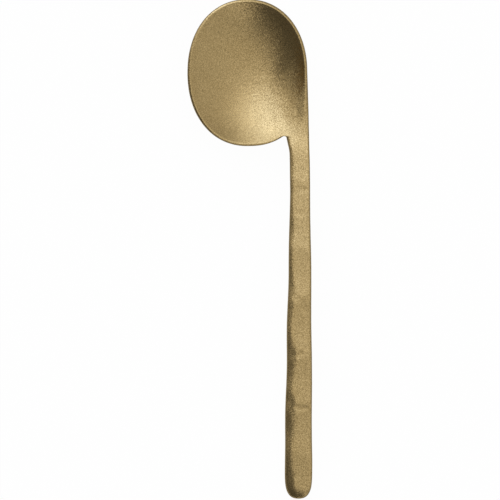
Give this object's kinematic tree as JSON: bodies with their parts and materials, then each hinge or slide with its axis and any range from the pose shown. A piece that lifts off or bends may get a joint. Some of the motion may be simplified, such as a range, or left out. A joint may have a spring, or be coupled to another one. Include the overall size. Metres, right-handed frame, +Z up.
{
  "type": "espresso spoon",
  "caption": "Small hammered metal spoon for coffee, forged in one piece, with a deep oval bowl and a flat handle that runs on from one side of the bowl.",
  "frame": {"origin": "on the table plane, under the centre of the bounding box of the spoon as it lies", "axes": "+Y from the end of the handle to the tip of the bowl, +X to the side of the bowl on which the handle leaves it, +Z up from the table, with the dish facing up"},
  "size_m": [0.0276, 0.11, 0.0072],
  "materials": {
    "spoon": "matte, fine-grained tumbled surface with a soft sheen, pale gold"
  },
  "bodies": {
    "root": {"spoon": "spoon"}
  },
  "joints": []
}
